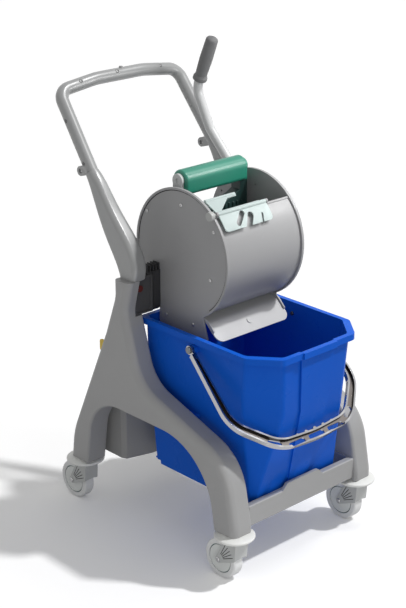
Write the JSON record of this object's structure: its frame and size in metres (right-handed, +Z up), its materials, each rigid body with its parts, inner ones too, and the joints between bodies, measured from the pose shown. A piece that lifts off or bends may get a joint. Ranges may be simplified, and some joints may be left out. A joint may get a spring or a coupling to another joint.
{
  "type": "mop bucket trolley",
  "caption": "Mop bucket trolley on swivel casters with a push handle, a lifting bail bucket and a lever press wringer that squeezes a mop over the bucket.",
  "frame": {"origin": "on the floor, in the middle of the overall length and width", "axes": "+X to the trolley's right seen from behind the push handle, +Y to the rear where the push handle is, +Z up"},
  "size_m": [0.468, 0.6513, 1.0538],
  "materials": {
    "frame_grey": "fine matte texture",
    "bin_grey": "fine matte texture",
    "bracket_grey": "matte",
    "red_plastic": "satin",
    "yellow_plastic": "satin",
    "bush_plastic": "smooth",
    "bucket_blue": "semi-gloss",
    "steel": "zinc plated",
    "bumper_grey": "smooth",
    "drum_grey": "satin",
    "pale_grey": "satin",
    "tray_white": "satin",
    "black_plastic": "matte",
    "flap_clear": "translucent gloss",
    "lever_grey": "satin paint",
    "grip_dark": "matte",
    "jaw_green": "gloss",
    "cap_grey": "satin",
    "bail_chrome": "bright plated",
    "fork_grey": "satin",
    "wheel_grey": "satin",
    "tyre_grey": "matte non-marking"
  },
  "bodies": {
    "frame": {"left_side_frame": "frame_grey", "right_side_frame": "frame_grey", "front_crossbar": "frame_grey", "rear_bin": "bin_grey", "push_handle": "frame_grey", "handle_screws": "steel", "left_bucket_runner": "frame_grey", "right_bucket_runner": "frame_grey", "left_wringer_bracket": "bracket_grey", "right_wringer_bracket": "bracket_grey", "bracket_plugs": "red_plastic", "frame_clip": "yellow_plastic", "stem_bushes": "bush_plastic", "bucket": "bucket_blue", "bail_pins": "steel", "front_left_bumper": "bumper_grey", "front_right_bumper": "bumper_grey", "rear_left_bumper": "bumper_grey", "rear_right_bumper": "bumper_grey"},
    "bail": {"bail": "bail_chrome"},
    "wringer": {"wringer_left_plate": "drum_grey", "wringer_right_plate": "drum_grey", "drum_front_wall": "drum_grey", "squeeze_plate": "pale_grey", "drip_tray": "tray_white", "left_hanger": "black_plastic", "right_hanger": "black_plastic", "left_jaw_guide": "black_plastic", "right_jaw_guide": "black_plastic", "plate_screws": "steel", "shaft_bushes": "bush_plastic"},
    "flap": {"mop_flap": "flap_clear", "flap_rod": "pale_grey"},
    "lever": {"lever_tube": "lever_grey", "lever_grip": "grip_dark", "lever_hub": "black_plastic", "drive_shaft": "steel", "left_pinion": "black_plastic", "right_pinion": "black_plastic"},
    "jaw": {"press_jaw": "jaw_green", "left_jaw_cap": "cap_grey", "right_jaw_cap": "jaw_green", "left_rack": "black_plastic", "right_rack": "black_plastic"},
    "front_left_swivel": {"front_left_fork": "fork_grey", "front_left_axle": "steel"},
    "front_left_roller": {"front_left_wheel": "wheel_grey", "front_left_tyre": "tyre_grey"},
    "front_right_swivel": {"front_right_fork": "fork_grey", "front_right_axle": "steel"},
    "front_right_roller": {"front_right_wheel": "wheel_grey", "front_right_tyre": "tyre_grey"},
    "rear_left_swivel": {"rear_left_fork": "fork_grey", "rear_left_axle": "steel"},
    "rear_left_roller": {"rear_left_wheel": "wheel_grey", "rear_left_tyre": "tyre_grey"},
    "rear_right_swivel": {"rear_right_fork": "fork_grey", "rear_right_axle": "steel"},
    "rear_right_roller": {"rear_right_wheel": "wheel_grey", "rear_right_tyre": "tyre_grey"}
  },
  "joints": [
    {"name": "bail_swing", "type": "hinge", "parent": "frame", "child": "bail", "pos_m": [0, -0.1005, 0.472], "axis": [-1, 0, 0], "range_deg": [0, 105]},
    {"name": "wringer_lift", "type": "slide", "parent": "frame", "child": "wringer", "axis": [0, 0, 1], "range_m": [0, 0.12]},
    {"name": "flap_lift", "type": "hinge", "parent": "wringer", "child": "flap", "pos_m": [0, -0.1183, 0.7605], "axis": [-1, 0, 0], "range_deg": [0, 45]},
    {"name": "lever_press", "type": "hinge", "parent": "wringer", "child": "lever", "pos_m": [0.15, -0.018, 0.653], "axis": [1, 0, 0], "range_deg": [0, 88]},
    {"name": "jaw_slide", "type": "slide", "parent": "wringer", "child": "jaw", "axis": [0, -1, 0], "range_m": [0, 0.0438]},
    {"name": "front_left_swivel_turn", "type": "hinge", "parent": "frame", "child": "front_left_swivel", "pos_m": [-0.19, -0.265, 0.105], "axis": [0, 0, 1], "continuous": true},
    {"name": "front_left_wheel_roll", "type": "hinge", "parent": "front_left_swivel", "child": "front_left_roller", "pos_m": [-0.19, -0.234, 0.045], "axis": [1, 0, 0], "continuous": true},
    {"name": "front_right_swivel_turn", "type": "hinge", "parent": "frame", "child": "front_right_swivel", "pos_m": [0.19, -0.265, 0.105], "axis": [0, 0, 1], "continuous": true},
    {"name": "front_right_wheel_roll", "type": "hinge", "parent": "front_right_swivel", "child": "front_right_roller", "pos_m": [0.19, -0.234, 0.045], "axis": [1, 0, 0], "continuous": true},
    {"name": "rear_left_swivel_turn", "type": "hinge", "parent": "frame", "child": "rear_left_swivel", "pos_m": [-0.19, 0.231, 0.105], "axis": [0, 0, 1], "continuous": true},
    {"name": "rear_left_wheel_roll", "type": "hinge", "parent": "rear_left_swivel", "child": "rear_left_roller", "pos_m": [-0.19, 0.262, 0.045], "axis": [1, 0, 0], "continuous": true},
    {"name": "rear_right_swivel_turn", "type": "hinge", "parent": "frame", "child": "rear_right_swivel", "pos_m": [0.19, 0.231, 0.105], "axis": [0, 0, 1], "continuous": true},
    {"name": "rear_right_wheel_roll", "type": "hinge", "parent": "rear_right_swivel", "child": "rear_right_roller", "pos_m": [0.19, 0.262, 0.045], "axis": [1, 0, 0], "continuous": true}
  ],
  "couplings": [
    {"joint": "jaw_slide", "follows": "lever_press", "m_per_rad": 0.0285}
  ]
}
